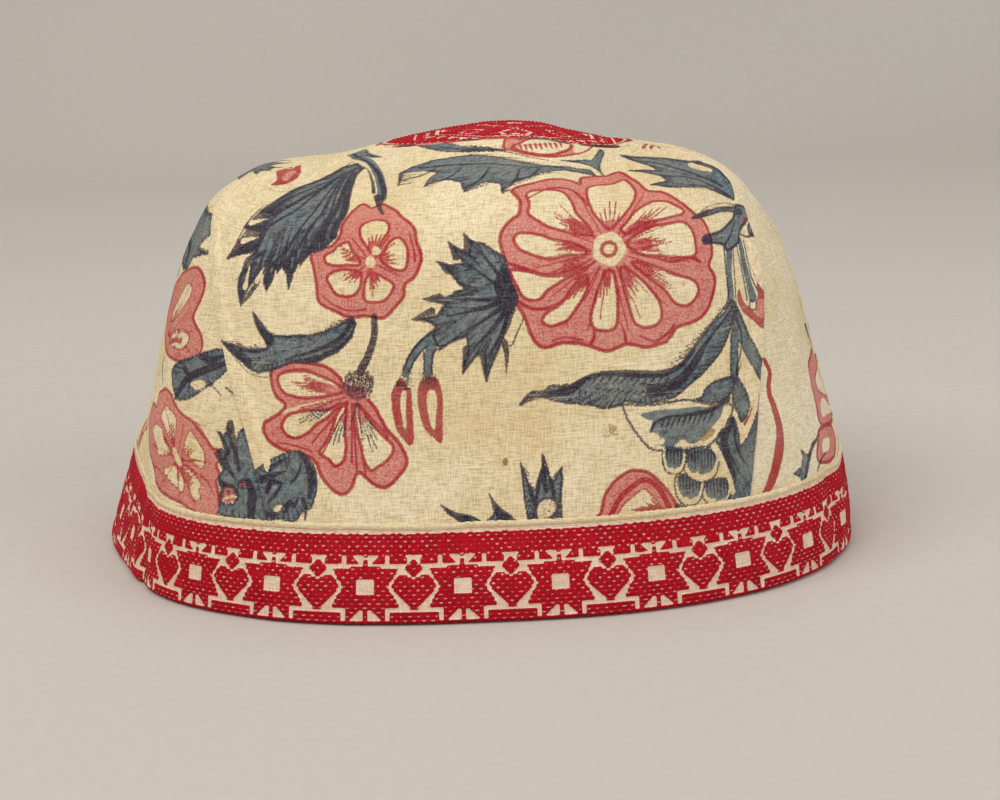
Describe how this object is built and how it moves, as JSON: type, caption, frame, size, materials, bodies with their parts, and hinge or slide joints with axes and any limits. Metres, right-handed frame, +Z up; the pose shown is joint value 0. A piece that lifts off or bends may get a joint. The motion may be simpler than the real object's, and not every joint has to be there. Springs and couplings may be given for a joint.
{
  "type": "soft brimless cap",
  "caption": "Soft round brimless cap with printed flower panels, a red embroidered band and a red embroidered crown patch, wadded and lined.",
  "frame": {"origin": "centre of the cap's bounding box on the plane that the brim rests on", "axes": "+Z up through the crown, -Y towards the front panel, +X across the cap to the narrow gore's side"},
  "size_m": [0.1952, 0.1692, 0.1082],
  "materials": {
    "printed_cotton": "matt glazed cotton, block-printed in pink, red and blue-grey on cream, plain weave",
    "embroidery_silk": "dense counted-thread embroidery in red, soft sheen",
    "band_linen": "plain-weave linen, off-white with a pink cast",
    "wadding": "felted cotton wadding, matt",
    "lining": "unbleached plain-weave cotton, matt",
    "facing": "plain cotton tape, matt",
    "sewing_thread": "twisted cotton thread"
  },
  "bodies": {
    "root": {"left_side_panel": "printed_cotton", "front_panel": "printed_cotton", "right_front_gore": "printed_cotton", "right_side_panel": "printed_cotton", "back_panel": "printed_cotton", "panel_hem_fold": "printed_cotton", "crown_edge_fold": "printed_cotton", "band_embroidery": "embroidery_silk", "crown_embroidery": "embroidery_silk", "band_turned_edge": "embroidery_silk", "band_linen": "band_linen", "crown_linen": "band_linen", "interlining_left": "wadding", "interlining_front": "wadding", "interlining_right": "wadding", "interlining_back": "wadding", "interlining_crown": "wadding", "lining_left": "lining", "lining_front": "lining", "lining_right": "lining", "lining_back": "lining", "lining_crown": "lining", "inner_facing": "facing", "hem_thread": "sewing_thread", "crown_thread": "sewing_thread", "facing_thread": "sewing_thread"}
  },
  "joints": []
}
